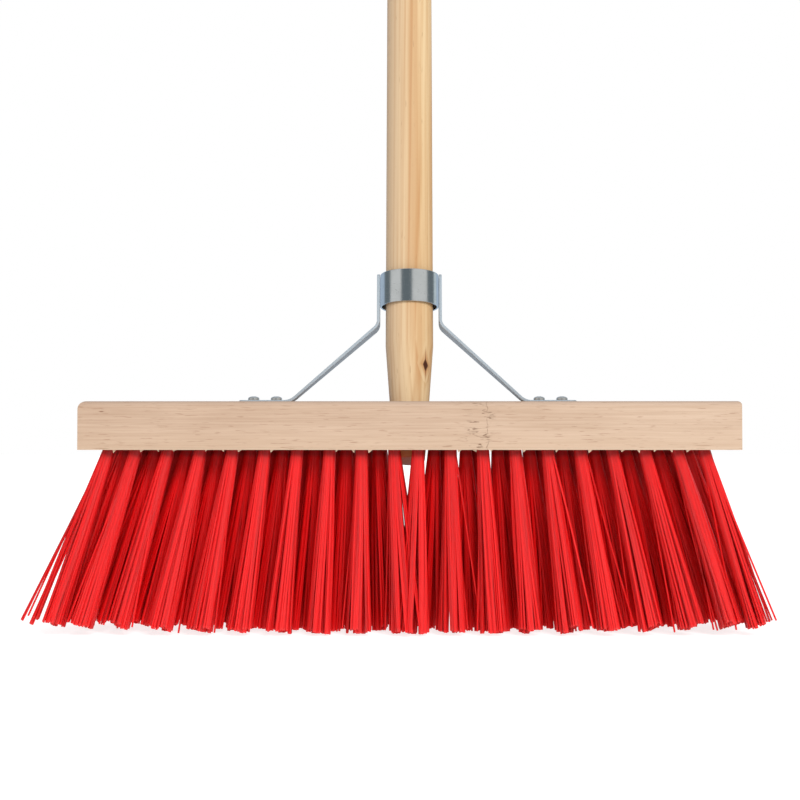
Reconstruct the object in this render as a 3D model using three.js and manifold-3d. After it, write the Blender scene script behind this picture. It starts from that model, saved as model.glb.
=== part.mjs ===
/*
 * Push broom: a beech block full of red filament tufts, a wooden handle set at a slant through the
 * block, and a zinc-plated steel stay (a collar and two arms) that braces the handle.
 *
 * Millimetres, +Z up. X runs along the block. The front faces -Y and the handle leans back to +Y.
 * The origin is the point of the floor under the middle of the block.
 */
import * as THREE from "three";
import { mergeVertices } from "three/addons/utils/BufferGeometryUtils.js";
import Module from "manifold-3d";

const wasm = await Module();
wasm.setup();

// ---------------------------------------------------------------- driving dimensions

// Block
const BLOCK_LENGTH = 381;
const BLOCK_DEPTH = 64;
const BLOCK_HEIGHT = 28;
const LONG_EDGE_RADIUS = 3;
const LEFT_CORNER_RADIUS = 4.7;
const RIGHT_CORNER_RADIUS = 2.3;

// Tufts: four rows, drilled in a fan that opens towards the ends
const BRISTLE_LENGTH = 106;
const TUFT_PITCH = 18.7;
const END_PITCH = 15.6;
const OUTER_PER_SIDE = 10;
const INNER_PER_SIDE = 9;
const MIDDLE_GAP = 13.9;
const ROW_SPACING = 14;
const THIRD_ROW_INSET = 2;
const REAR_ROW_SHIFT = 1.2;
const FIELD_SHIFT = -1.9;
const TUFT_RADIUS = 3.6;
const HOLE_RADIUS = 4;
const HOLE_DEPTH = 16;
const ANCHOR_ROOM = 0.5;
const OUTER_TIP_RADIUS = 8.9;
const END_TIP_RADIUS = 7.2;
const INNER_TIP_RADIUS = 13;
const MIDDLE_TIP_RADIUS = 20;
const LEFT_FAN = 31;
const RIGHT_FAN = 30;
const FAN_LIMIT = 150;
const FAN_POWER = 1.45;
const ROW_SPLAY = 0.53;
const TUFT_SIDES = 8;
const HOLE_SIDES = 8;

// Inner rows: joined four tufts to a node where their tips run together
const INNER_GROUPS = 9;
const INNER_HALF_DEPTH = 13.7;
const INNER_TIP_HALF_DEPTH = 22.6;

// Handle
const HANDLE_LENGTH = 1370;
const HANDLE_RADIUS = 14.3;
const HANDLE_TIP_RADIUS = 9.1;
const TAPER_LENGTH = 72;
const HANDLE_LEAN = 17.4;
const HANDLE_ENTRY_Y = 5;
const TIP_REACH = 36.3;
const DOME_HEIGHT = 9;
const TIP_CHAMFER = 1;
const HANDLE_SIDES = 28;
const DOME_STEP = 15;

// Stay: collar round the handle, and a flat strip down each side
const COLLAR_HEIGHT = 20;
const COLLAR_INNER_RADIUS = 16.6;
const COLLAR_WALL = 1.1;
const COLLAR_LEAN = 8.5;
const COLLAR_ABOVE_BLOCK = 68.4;
const COLLAR_SIDES = 36;
const STRIP_WIDTH = 14;
const STRIP_THICKNESS = 1.8;
const ARM_TOP = 10.2;
const LEFT_DROP = 22;
const RIGHT_DROP = 21.5;
const LEFT_REACH = 71.5;
const RIGHT_REACH = 69.5;
const FOOT_LENGTH = 31;
const FOOT_BACKSET = 8;
const UPPER_BEND_TRIM = 3;
const LOWER_BEND_TRIM = 4;
const BEND_STEPS = 5;
const STRIP_CORNER_RADIUS = 5;
const FOOT_SCREWS = [8.7, 22.4];

// Screws
const SCREW_LENGTH = 12;
const SCREW_RADIUS = 1.75;
const SCREW_POINT = 2;
const HEAD_RADIUS = 3.4;
const HEAD_RIM_HEIGHT = 0.9;
const HEAD_HEIGHT = 2.4;
const CROWN_STEP = 30;
const RECESS_LENGTH = 3.6;
const RECESS_WIDTH = 0.9;
const RECESS_DEPTH = 1.4;
const SCREW_SIDES = 14;

// Gaps, and how far a cutting body runs past the face it cuts
const GAP = 0.3;
const SEAT_GAP = 0.1;
const OVERRUN = 5;

// Segments of a rounded corner
const CORNER_STEPS = 5;

// Levels and directions that follow from them
const UNDERSIDE = BRISTLE_LENGTH;
const BLOCK_TOP = UNDERSIDE + BLOCK_HEIGHT;
const RAD = Math.PI / 180;
const HANDLE_AXIS = new THREE.Vector3(0, Math.sin(HANDLE_LEAN * RAD), Math.cos(HANDLE_LEAN * RAD));
const COLLAR_AXIS = new THREE.Vector3(0, Math.sin(COLLAR_LEAN * RAD), Math.cos(COLLAR_LEAN * RAD));
const HANDLE_ENTRY = new THREE.Vector3(0, HANDLE_ENTRY_Y, BLOCK_TOP);
const HANDLE_TIP = HANDLE_ENTRY.clone().addScaledVector(HANDLE_AXIS, -TIP_REACH);
const COLLAR_CENTRE = new THREE.Vector3(
  0,
  HANDLE_ENTRY_Y + COLLAR_ABOVE_BLOCK * Math.tan(HANDLE_LEAN * RAD),
  BLOCK_TOP + COLLAR_ABOVE_BLOCK,
);
const FOOT_Y = COLLAR_CENTRE.y - FOOT_BACKSET;
const FOOT_MIDDLE = BLOCK_TOP + SEAT_GAP + STRIP_THICKNESS / 2;
const HEAD_SEAT = FOOT_MIDDLE + STRIP_THICKNESS / 2 + SEAT_GAP;

// ---------------------------------------------------------------- materials

const material = (color, roughness, metalness) =>
  new THREE.MeshStandardMaterial({ color, roughness, metalness });
const blockWood = material(0xe3c6a5, 0.7, 0);
const handleWood = material(0xe2bd88, 0.6, 0);
const zincSteel = material(0xa9b0b4, 0.35, 0.9);
const screwSteel = material(0x9a9a98, 0.35, 0.95);
const redFilament = material(0xe0191f, 0.4, 0);

// ---------------------------------------------------------------- geometry helpers

/** A closed geometry as a solid for cutting and joining. */
function solid(geometry) {
  const bare = geometry.clone();
  bare.deleteAttribute("normal");
  bare.deleteAttribute("uv");
  const merged = mergeVertices(bare, 1e-4);
  return new wasm.Manifold(new wasm.Mesh({
    numProp: 3,
    vertProperties: new Float32Array(merged.attributes.position.array),
    triVerts: new Uint32Array(merged.index.array),
  }));
}

/** A solid as a geometry again. */
function geometryOf(body) {
  const mesh = body.getMesh();
  const geometry = new THREE.BufferGeometry();
  geometry.setAttribute("position", new THREE.BufferAttribute(new Float32Array(mesh.vertProperties), 3));
  geometry.setIndex(new THREE.BufferAttribute(new Uint32Array(mesh.triVerts), 1));
  geometry.computeVertexNormals();
  return geometry;
}

/** A turned shape from [radius, height] points, standing along +Z. */
function turned(points, sides) {
  const profile = points.map(([radius, height]) => new THREE.Vector2(radius, height));
  return new THREE.LatheGeometry(profile, sides).rotateX(Math.PI / 2);
}

/** A plain round bar along +Z from z = low to z = high. */
function bar(radius, low, high, sides) {
  return turned([[0, low], [radius, low], [radius, high], [0, high]], sides);
}

/** The turn that points +Z along a direction. */
function facing(direction) {
  return new THREE.Quaternion().setFromUnitVectors(new THREE.Vector3(0, 0, 1), direction);
}

/** A geometry moved to a place and pointed along a direction. */
function placed(geometry, position, direction) {
  const one = new THREE.Vector3(1, 1, 1);
  return geometry.clone().applyMatrix4(new THREE.Matrix4().compose(position, facing(direction), one));
}

/** An outline extruded straight up along +Z from z = 0. */
function extruded(outline, depth) {
  return new THREE.ExtrudeGeometry(outline, { depth, bevelEnabled: false, curveSegments: CORNER_STEPS });
}

/** An outline in (x, z), extruded along Y to the same distance on both sides of y = 0. */
function frontSlab(outline, halfDepth) {
  return extruded(outline, 2 * halfDepth).rotateX(Math.PI / 2).translate(0, halfDepth, 0);
}

/** An outline in (y, z), extruded along X to the same distance on both sides of x = 0. */
function sideSlab(outline, halfLength) {
  const slab = extruded(outline, 2 * halfLength).rotateY(Math.PI / 2).rotateX(Math.PI / 2);
  return slab.translate(-halfLength, 0, 0);
}

/** A rectangle whose two upper corners are rounded. */
function roundedTopOutline(low, high, bottom, top, lowRadius, highRadius) {
  const outline = new THREE.Shape();
  outline.moveTo(low, bottom);
  outline.lineTo(high, bottom);
  outline.lineTo(high, top - highRadius);
  outline.absarc(high - highRadius, top - highRadius, highRadius, 0, Math.PI / 2);
  outline.lineTo(low + lowRadius, top);
  outline.absarc(low + lowRadius, top - lowRadius, lowRadius, Math.PI / 2, Math.PI);
  outline.closePath();
  return outline;
}

/** A four-sided outline from its corners. */
function quad(corners) {
  return new THREE.Shape(corners.map(([across, up]) => new THREE.Vector2(across, up)));
}

const group = new THREE.Group();

/** Adds a named mesh and returns it. */
function add(name, geometry, finish) {
  const mesh = new THREE.Mesh(geometry, finish);
  mesh.name = name;
  group.add(mesh);
  return mesh;
}

// ---------------------------------------------------------------- tuft layout

/** A tuft's distance from the middle, counted in steps from the innermost front tuft. */
function tuftOffset(step) {
  const even = Math.min(step, OUTER_PER_SIDE - 2);
  return MIDDLE_GAP / 2 + even * TUFT_PITCH + (step - even) * END_PITCH;
}

/** How far the tips have moved sideways from a hole at x: more towards the ends, up to a limit. */
function fan(x) {
  const reach = x < 0 ? LEFT_FAN : RIGHT_FAN;
  return Math.sign(x) * reach * Math.min(1, Math.abs(x) / FAN_LIMIT) ** FAN_POWER;
}

/**
 * One row's holes, from left to right: the mouth, the way its tuft points and how wide its tips open.
 * The row starts a number of steps out, and can be set closer to the middle or shifted to the right.
 */
function holesOf(y, firstStep, perSide, inset, shift) {
  const holes = [];
  for (const side of [-1, 1]) {
    for (let count = 0; count < perSide; count += 1) {
      const step = firstStep + count;
      const offset = tuftOffset(step) - inset;
      const widest = step < OUTER_PER_SIDE - 2 ? OUTER_TIP_RADIUS : END_TIP_RADIUS;
      const x = FIELD_SHIFT + shift + side * offset;
      const direction = new THREE.Vector3(fan(x), y * ROW_SPLAY, -BRISTLE_LENGTH).normalize();
      const tipRadius = Math.min(widest, offset - GAP / 2);
      holes.push({ mouth: new THREE.Vector3(x, y, UNDERSIDE), direction, tipRadius });
    }
  }
  return holes.sort((one, other) => one.mouth.x - other.mouth.x);
}

const innerRowY = ROW_SPACING / 2;
const outerRowY = innerRowY + ROW_SPACING;
const frontRow = holesOf(-outerRowY, 0, OUTER_PER_SIDE, 0, 0);
const secondRow = holesOf(-innerRowY, 0.5, INNER_PER_SIDE, 0, 0);
const thirdRow = holesOf(innerRowY, 1, INNER_PER_SIDE, THIRD_ROW_INSET, 0);
const rearRow = holesOf(outerRowY, 0.5, INNER_PER_SIDE, 0, REAR_ROW_SHIFT);

// ---------------------------------------------------------------- handle and its bore

/** The handle's outside from its tip upwards, grown by a clearance. */
function handleTaper(clearance, length) {
  const slope = (HANDLE_RADIUS - HANDLE_TIP_RADIUS) / TAPER_LENGTH;
  const radiusAt = (height) => HANDLE_TIP_RADIUS + slope * height + clearance;
  return turned([
    [0, -clearance],
    [radiusAt(-clearance), -clearance],
    [radiusAt(length), length],
    [0, length],
  ], HANDLE_SIDES);
}

/** The slanted bore that the handle's taper sits in, as a solid placed in the block. */
function handleBore() {
  return solid(placed(handleTaper(GAP, 2 * TIP_REACH), HANDLE_TIP, HANDLE_AXIS));
}

function handle() {
  const shoulder = HANDLE_LENGTH - DOME_HEIGHT;
  const profile = [
    [0, 0],
    [HANDLE_TIP_RADIUS - TIP_CHAMFER, 0],
    [HANDLE_TIP_RADIUS, TIP_CHAMFER],
    [HANDLE_RADIUS, TAPER_LENGTH],
  ];
  for (let turn = 0; turn <= 90; turn += DOME_STEP) {
    const radius = turn === 90 ? 0 : HANDLE_RADIUS * Math.cos(turn * RAD);
    profile.push([radius, shoulder + DOME_HEIGHT * Math.sin(turn * RAD)]);
  }
  const pole = placed(turned(profile, HANDLE_SIDES), HANDLE_TIP, HANDLE_AXIS);
  return geometryOf(solid(pole).subtract(solid(placed(screwPilot(), collarScrewSeat, collarBack))));
}

// ---------------------------------------------------------------- screws

/** The hole that a screw's shank sits in, with the screw's seat at z = 0. */
function screwPilot() {
  return bar(SCREW_RADIUS + GAP, -SCREW_LENGTH - GAP, GAP, SCREW_SIDES);
}

/** A pan-head screw with its seat at z = 0, its shank down and a cross recess in the head. */
function panHeadScrew() {
  const profile = [
    [0, -SCREW_LENGTH],
    [SCREW_RADIUS, SCREW_POINT - SCREW_LENGTH],
    [SCREW_RADIUS, 0],
    [HEAD_RADIUS, 0],
  ];
  for (let turn = 0; turn <= 90; turn += CROWN_STEP) {
    const radius = turn === 90 ? 0 : HEAD_RADIUS * Math.cos(turn * RAD);
    profile.push([radius, HEAD_RIM_HEIGHT + (HEAD_HEIGHT - HEAD_RIM_HEIGHT) * Math.sin(turn * RAD)]);
  }
  const slot = new THREE.BoxGeometry(RECESS_LENGTH, RECESS_WIDTH, 2 * RECESS_DEPTH);
  slot.translate(0, 0, HEAD_HEIGHT);
  const recess = solid(slot).add(solid(slot.clone().rotateZ(Math.PI / 2)));
  return geometryOf(solid(turned(profile, SCREW_SIDES)).subtract(recess));
}

// ---------------------------------------------------------------- stay

const collarOuter = COLLAR_INNER_RADIUS + COLLAR_WALL;
const collarBack = new THREE.Vector3(0, Math.cos(COLLAR_LEAN * RAD), -Math.sin(COLLAR_LEAN * RAD));
const collarScrewSeat = COLLAR_CENTRE.clone().addScaledVector(collarBack, collarOuter + SEAT_GAP);

function collar() {
  const half = COLLAR_HEIGHT / 2;
  const ring = placed(turned([
    [COLLAR_INNER_RADIUS, -half],
    [collarOuter, -half],
    [collarOuter, half],
    [COLLAR_INNER_RADIUS, half],
    [COLLAR_INNER_RADIUS, -half],
  ], COLLAR_SIDES), COLLAR_CENTRE, COLLAR_AXIS);
  const hole = placed(bar(SCREW_RADIUS + GAP, -OVERRUN, OVERRUN, SCREW_SIDES), collarScrewSeat, collarBack);
  return geometryOf(solid(ring).subtract(solid(hole)));
}

/** The middle line of one arm: down the collar's side, out to the block, then flat along its top. */
function armLine(side, drop, reach) {
  const beside = side * (collarOuter + SEAT_GAP + STRIP_THICKNESS / 2);
  const onCollar = (along) => COLLAR_CENTRE.clone().addScaledVector(COLLAR_AXIS, along).setX(beside);
  const corners = [
    onCollar(ARM_TOP),
    onCollar(-drop),
    new THREE.Vector3(side * reach, FOOT_Y, FOOT_MIDDLE),
    new THREE.Vector3(side * (reach + FOOT_LENGTH), FOOT_Y, FOOT_MIDDLE),
  ];
  const line = new THREE.CurvePath();
  let from = corners[0];
  [UPPER_BEND_TRIM, LOWER_BEND_TRIM].forEach((trim, index) => {
    const corner = corners[index + 1];
    const before = corner.clone().add(corners[index].clone().sub(corner).setLength(trim));
    const after = corner.clone().add(corners[index + 2].clone().sub(corner).setLength(trim));
    line.add(new THREE.LineCurve3(from, before));
    line.add(new THREE.QuadraticBezierCurve3(before, corner, after));
    from = after;
  });
  line.add(new THREE.LineCurve3(from, corners[corners.length - 1]));
  return line;
}

/** Half the strip's width at a distance from its end, with rounded corners. */
function stripHalfWidth(distance) {
  const inset = Math.max(0, STRIP_CORNER_RADIUS - distance);
  return STRIP_WIDTH / 2 - STRIP_CORNER_RADIUS + Math.sqrt(STRIP_CORNER_RADIUS ** 2 - inset ** 2);
}

/** Distances along the strip that need a cross-section: its rounded ends and its bends. */
function stripStations(lengths, total) {
  const stations = [];
  for (let step = 0; step <= CORNER_STEPS; step += 1) {
    const inset = STRIP_CORNER_RADIUS * (1 - Math.cos((step / CORNER_STEPS) * (Math.PI / 2)));
    stations.push(inset, total - inset);
  }
  for (const bend of [1, 3]) {
    const start = lengths[bend - 1];
    for (let step = 0; step <= BEND_STEPS; step += 1) {
      stations.push(start + ((lengths[bend] - start) * step) / BEND_STEPS);
    }
  }
  return stations.sort((one, other) => one - other);
}

/** One arm: the strip, leaning with the collar at its top and flat at its foot, with two screw holes. */
function arm(side, drop, reach) {
  const line = armLine(side, drop, reach);
  const lengths = line.getCurveLengths();
  const total = lengths[lengths.length - 1];
  const positions = [];
  for (const distance of stripStations(lengths, total)) {
    const part = Math.min(1, distance / total);
    const middle = line.getPointAt(part);
    const along = line.getTangentAt(part);
    const height = (middle.z - FOOT_MIDDLE) / (COLLAR_CENTRE.z - drop - FOOT_MIDDLE);
    const lean = COLLAR_LEAN * RAD * THREE.MathUtils.clamp(height, 0, 1);
    const across = new THREE.Vector3(0, Math.cos(lean), -Math.sin(lean));
    const normal = along.clone().cross(across).normalize();
    across.copy(normal).cross(along);
    const halfWidth = stripHalfWidth(Math.min(distance, total - distance));
    for (const [wide, thick] of [[-1, -1], [1, -1], [1, 1], [-1, 1]]) {
      const corner = middle.clone()
        .addScaledVector(across, wide * halfWidth)
        .addScaledVector(normal, (thick * STRIP_THICKNESS) / 2);
      positions.push(corner.x, corner.y, corner.z);
    }
  }
  const index = [0, 2, 1, 0, 3, 2];
  const last = positions.length / 3 - 4;
  for (let start = 0; start < last; start += 4) {
    for (let edge = 0; edge < 4; edge += 1) {
      const a = start + edge;
      const b = start + ((edge + 1) % 4);
      index.push(a, b, b + 4, a, b + 4, a + 4);
    }
  }
  index.push(last, last + 1, last + 2, last, last + 2, last + 3);
  const strip = new THREE.BufferGeometry();
  strip.setAttribute("position", new THREE.BufferAttribute(new Float32Array(positions), 3));
  strip.setIndex(index);
  let body = solid(strip);
  for (const place of FOOT_SCREWS) {
    const hole = bar(SCREW_RADIUS + GAP, FOOT_MIDDLE - OVERRUN, FOOT_MIDDLE + OVERRUN, SCREW_SIDES);
    body = body.subtract(solid(hole.translate(side * (reach + place), FOOT_Y, 0)));
  }
  return geometryOf(body);
}

/** Where the four foot screws sit, from left to right. */
const footScrewPlaces = [
  ...FOOT_SCREWS.map((place) => -(LEFT_REACH + place)).reverse(),
  ...FOOT_SCREWS.map((place) => RIGHT_REACH + place),
].map((x) => new THREE.Vector3(x, FOOT_Y, HEAD_SEAT));

// ---------------------------------------------------------------- block

function block() {
  const halfLength = BLOCK_LENGTH / 2;
  const halfDepth = BLOCK_DEPTH / 2;
  const front = roundedTopOutline(
    -halfLength, halfLength, UNDERSIDE, BLOCK_TOP, LEFT_CORNER_RADIUS, RIGHT_CORNER_RADIUS,
  );
  const side = roundedTopOutline(
    -halfDepth, halfDepth, UNDERSIDE, BLOCK_TOP, LONG_EDGE_RADIUS, LONG_EDGE_RADIUS,
  );
  let body = solid(frontSlab(front, halfDepth)).intersect(solid(sideSlab(side, halfLength + OVERRUN)));
  const hole = bar(HOLE_RADIUS, -HOLE_DEPTH, OVERRUN, HOLE_SIDES);
  for (const { mouth, direction } of [...frontRow, ...secondRow, ...thirdRow, ...rearRow]) {
    body = body.subtract(solid(placed(hole, mouth, direction)));
  }
  body = body.subtract(handleBore());
  for (const place of footScrewPlaces) {
    body = body.subtract(solid(screwPilot().translate(place.x, place.y, place.z)));
  }
  return geometryOf(body);
}

// ---------------------------------------------------------------- tufts

/** A tuft along +Z from the bottom of its hole to its tips, with its mouth of the hole at z = 0. */
function tuft(tipRadius, length) {
  return turned([
    [0, -HOLE_DEPTH + ANCHOR_ROOM],
    [TUFT_RADIUS, -HOLE_DEPTH + ANCHOR_ROOM],
    [TUFT_RADIUS, 0],
    [tipRadius, length],
    [0, length],
  ], TUFT_SIDES);
}

/** The length that keeps a leaning tuft's lowest edge on the floor, or its full length. */
function tuftLength(direction, tipRadius) {
  const lean = Math.acos(-direction.z);
  return Math.min(BRISTLE_LENGTH, (BRISTLE_LENGTH - tipRadius * Math.sin(lean)) / Math.cos(lean));
}

function addRow(prefix, holes) {
  holes.forEach(({ mouth, direction, tipRadius }, index) => {
    const geometry = tuft(tipRadius, tuftLength(direction, tipRadius));
    const mesh = add(`${prefix}_${String(index + 1).padStart(2, "0")}`, geometry, redFilament);
    mesh.position.copy(mouth);
    mesh.quaternion.copy(facing(direction));
  });
}

/** The wedge of space that one group of inner tufts fills, narrowed by half a gap on each side. */
function innerCell(left, right) {
  const middle = (left + right) / 2;
  const floor = BRISTLE_LENGTH * (1 - Math.cos(Math.atan(fan(middle) / BRISTLE_LENGTH)));
  const ceiling = UNDERSIDE + HOLE_DEPTH;
  const fanned = (x, z) => x + (fan(x) * (UNDERSIDE - z)) / BRISTLE_LENGTH;
  const low = left + GAP / 2;
  const high = right - GAP / 2;
  const front = quad([
    [fanned(low, floor), floor],
    [fanned(high, floor), floor],
    [fanned(high, ceiling), ceiling],
    [fanned(low, ceiling), ceiling],
  ]);
  const slope = (INNER_TIP_HALF_DEPTH - INNER_HALF_DEPTH) / BRISTLE_LENGTH;
  const top = INNER_HALF_DEPTH - slope * HOLE_DEPTH;
  const side = quad([
    [-INNER_TIP_HALF_DEPTH, 0],
    [INNER_TIP_HALF_DEPTH, 0],
    [top, ceiling],
    [-top, ceiling],
  ]);
  return solid(frontSlab(front, BLOCK_DEPTH)).intersect(solid(sideSlab(side, BLOCK_LENGTH)));
}

function addInnerGroups() {
  const inner = [...secondRow, ...thirdRow].sort((one, other) => one.mouth.x - other.mouth.x);
  const perGroup = inner.length / INNER_GROUPS;
  const middleGroup = (INNER_GROUPS - 1) / 2;
  const beyond = BRISTLE_LENGTH + 2 * OVERRUN;
  const edges = [inner[0].mouth.x - TUFT_PITCH / 4];
  for (let first = perGroup; first < inner.length; first += perGroup) {
    edges.push((inner[first - 1].mouth.x + inner[first].mouth.x) / 2);
  }
  edges.push(inner[inner.length - 1].mouth.x + TUFT_PITCH / 4);
  for (let number = 0; number < INNER_GROUPS; number += 1) {
    const members = inner.slice(number * perGroup, (number + 1) * perGroup);
    const tipRadius = number === middleGroup ? MIDDLE_TIP_RADIUS : INNER_TIP_RADIUS;
    const overrun = TUFT_RADIUS + ((tipRadius - TUFT_RADIUS) * beyond) / BRISTLE_LENGTH;
    let body = members
      .map(({ mouth, direction }) => solid(placed(tuft(overrun, beyond), mouth, direction)))
      .reduce((joined, bundle) => joined.add(bundle))
      .intersect(innerCell(edges[number], edges[number + 1]));
    if (number === middleGroup) {
      body = body.subtract(handleBore());
    }
    add(`inner_tufts_${number + 1}`, geometryOf(body), redFilament);
  }
}

// ---------------------------------------------------------------- assembly

add("block", block(), blockWood);
add("handle", handle(), handleWood);
add("collar", collar(), zincSteel);
add("stay_arm_left", arm(-1, LEFT_DROP, LEFT_REACH), zincSteel);
add("stay_arm_right", arm(1, RIGHT_DROP, RIGHT_REACH), zincSteel);
const collarScrew = add("collar_screw", panHeadScrew(), screwSteel);
collarScrew.position.copy(collarScrewSeat);
collarScrew.quaternion.copy(facing(collarBack));
footScrewPlaces.forEach((place, index) => {
  const screw = add(`foot_screw_${index + 1}`, panHeadScrew(), screwSteel);
  screw.position.copy(place);
});
addRow("front_tuft", frontRow);
addInnerGroups();
addRow("rear_tuft", rearRow);

export default group;
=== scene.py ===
"""Push broom: a beech block full of red filament tufts, a slanted pine handle and a zinc-plated steel stay.

Metres, +Z up. X runs along the block, the front faces -Y and the handle leans back to +Y.
"""

import math
import random
from functools import reduce

import bmesh
import bpy
import numpy as np
from mathutils import Matrix, Vector


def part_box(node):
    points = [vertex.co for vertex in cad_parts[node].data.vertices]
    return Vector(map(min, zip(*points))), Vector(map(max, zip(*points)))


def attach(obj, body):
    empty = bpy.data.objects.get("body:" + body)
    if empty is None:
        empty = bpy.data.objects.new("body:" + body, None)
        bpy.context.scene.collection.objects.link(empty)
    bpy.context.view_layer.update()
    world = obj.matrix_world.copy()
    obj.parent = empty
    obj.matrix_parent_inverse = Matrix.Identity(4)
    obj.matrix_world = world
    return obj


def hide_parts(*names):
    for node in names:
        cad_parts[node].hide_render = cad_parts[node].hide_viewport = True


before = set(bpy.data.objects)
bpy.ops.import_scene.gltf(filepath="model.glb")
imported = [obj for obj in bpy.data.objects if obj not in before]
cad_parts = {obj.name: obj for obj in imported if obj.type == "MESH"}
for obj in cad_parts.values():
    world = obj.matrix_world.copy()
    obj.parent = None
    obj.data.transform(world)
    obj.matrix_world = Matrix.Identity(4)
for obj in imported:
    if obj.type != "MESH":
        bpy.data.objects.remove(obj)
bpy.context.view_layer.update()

# -------------------- driving dimensions

MM = 0.001
X_AXIS = Vector((1, 0, 0))
Z_AXIS = Vector((0, 0, 1))

# Block
BLOCK_LOW, BLOCK_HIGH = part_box("block")
UNDERSIDE = BLOCK_LOW.z
BLOCK_TOP = BLOCK_HIGH.z
LONG_EDGE_RADIUS = 3 * MM
LEFT_CORNER_RADIUS = 4.7 * MM
RIGHT_CORNER_RADIUS = 2.3 * MM
BLOCK_BEVEL = 0.45 * MM

# Tufts: four rows, drilled in a fan that opens towards the ends
TUFT_PITCH = 18.7 * MM
END_PITCH = 15.6 * MM
MIDDLE_GAP = 13.9 * MM
ROW_SPACING = 14 * MM
THIRD_ROW_INSET = 2 * MM
REAR_ROW_SHIFT = 1.2 * MM
FIELD_SHIFT = -1.9 * MM
OUTER_PER_SIDE = 10
INNER_PER_SIDE = 9
HOLE_RADIUS = 4 * MM
HOLE_DEPTH = 16 * MM
TUFT_RADIUS = 3.55 * MM
LEFT_FAN = 31 * MM
RIGHT_FAN = 30 * MM
FAN_LIMIT = 150 * MM
FAN_POWER = 1.45
ROW_SPLAY = 0.53

# Filaments
FILAMENTS = 84
FILAMENT_RADIUS = 0.58 * MM
FILAMENT_SIDES = 5
FILAMENT_STEPS = 6
STUB = 15 * MM
CLUMPS = 9
TUFTS_PER_NODE = 4

# Tuft anchors
ANCHOR_LENGTH = 7.4 * MM
ANCHOR_HEIGHT = 1.8 * MM
ANCHOR_THICKNESS = 0.35 * MM

# Handle
HANDLE_LENGTH = 1370 * MM
HANDLE_RADIUS = 14.3 * MM
HANDLE_TIP_RADIUS = 9.1 * MM
TAPER_LENGTH = 72 * MM
HANDLE_LEAN = math.radians(17.4)
HANDLE_ENTRY_Y = 5 * MM
TIP_REACH = 36.3 * MM
DOME_HEIGHT = 9 * MM
TIP_CHAMFER = 1 * MM

# Stay
COLLAR_INNER_RADIUS = 16.6 * MM
COLLAR_WALL = 1.1 * MM
COLLAR_HEIGHT = 20 * MM
COLLAR_LEAN = math.radians(8.5)
COLLAR_EDGE_RADIUS = 0.35 * MM
STRIP_WIDTH = 14 * MM
STRIP_THICKNESS = 1.8 * MM
STRIP_EDGE_RADIUS = 0.4 * MM
STRIP_CORNER_RADIUS = 5 * MM
ARM_TOP = 10.2 * MM
LEFT_DROP = 22 * MM
RIGHT_DROP = 21.5 * MM
FOOT_LENGTH = 31 * MM
UPPER_BEND_TRIM = 3 * MM
LOWER_BEND_TRIM = 4 * MM
WELDS = (-5 * MM, 5 * MM)
WELD_RADIUS = 1.9 * MM
WELD_DEPTH = 0.3 * MM

# A point lies on the strip's face from this share of half its thickness
ON_FACE = 0.99

# Screws
SCREW_LENGTH = 12 * MM
SCREW_RADIUS = 1.75 * MM
SCREW_POINT = 2 * MM
HEAD_RADIUS = 3.4 * MM
HEAD_RIM_HEIGHT = 0.9 * MM
HEAD_HEIGHT = 2.4 * MM
RECESS_LENGTH = 3.6 * MM
RECESS_WIDTH = 0.9 * MM
RECESS_DEPTH = 1.4 * MM
HEAD_EDGE = 0.15 * MM

# The recess's size at its bottom and just above the head, as shares of its length and width
RECESS_BOTTOM = 0.55
RECESS_TOP = 1.05

# How far each screw's recess is turned from the one before, in radians
RECESS_TURN = 1.3

# Sides of a full turn, and steps along the handle's taper and shaft and round the strip's bends
HANDLE_SIDES = 96
COLLAR_SIDES = 144
HEAD_SIDES = 64
SHANK_SIDES = 32
HOLE_SIDES = 24
TAPER_STEPS = 10
SHAFT_STEPS = 40
BEND_STEPS = 12
STRIP_COLUMNS = 24

# How far apart points lie along the strip's three straight stretches, from the collar down
STRIP_SPACING = (0.8 * MM, 2 * MM, 1 * MM)

# Gaps, and how far a cutting body runs past the face that it cuts
GAP = 0.3 * MM
SEAT_GAP = 0.1 * MM
OVERRUN = 5 * MM

# Places that follow from them and from the frame
HANDLE_AXIS = Vector((0, math.sin(HANDLE_LEAN), math.cos(HANDLE_LEAN)))
HANDLE_ENTRY = Vector((0, HANDLE_ENTRY_Y, BLOCK_TOP))
HANDLE_TIP = HANDLE_ENTRY - HANDLE_AXIS * TIP_REACH
COLLAR_AXIS = Vector((0, math.sin(COLLAR_LEAN), math.cos(COLLAR_LEAN)))
COLLAR_BACK = Vector((0, math.cos(COLLAR_LEAN), -math.sin(COLLAR_LEAN)))
COLLAR_CENTRE = sum(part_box("collar"), Vector()) / 2
COLLAR_OUTER_RADIUS = COLLAR_INNER_RADIUS + COLLAR_WALL
FOOT_SCREW_BOXES = [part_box(f"foot_screw_{number}") for number in (1, 2, 3, 4)]
FOOT_SCREW_SEATS = [
    Vector(((low.x + high.x) / 2, (low.y + high.y) / 2, high.z - HEAD_HEIGHT))
    for low, high in FOOT_SCREW_BOXES
]
COLLAR_SCREW_SEAT = COLLAR_CENTRE + COLLAR_BACK * (COLLAR_OUTER_RADIUS + SEAT_GAP)


def link(item):
    """Puts an object in the scene."""
    bpy.context.scene.collection.objects.link(item)


# -------------------- camera

CAMERA_DISTANCE = 974 * MM
CAMERA_AIM = Vector((-5.4 * MM, BLOCK_LOW.y, UNDERSIDE + 28.6 * MM))
LENS_MM = 76.5
SENSOR_MM = 36


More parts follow.
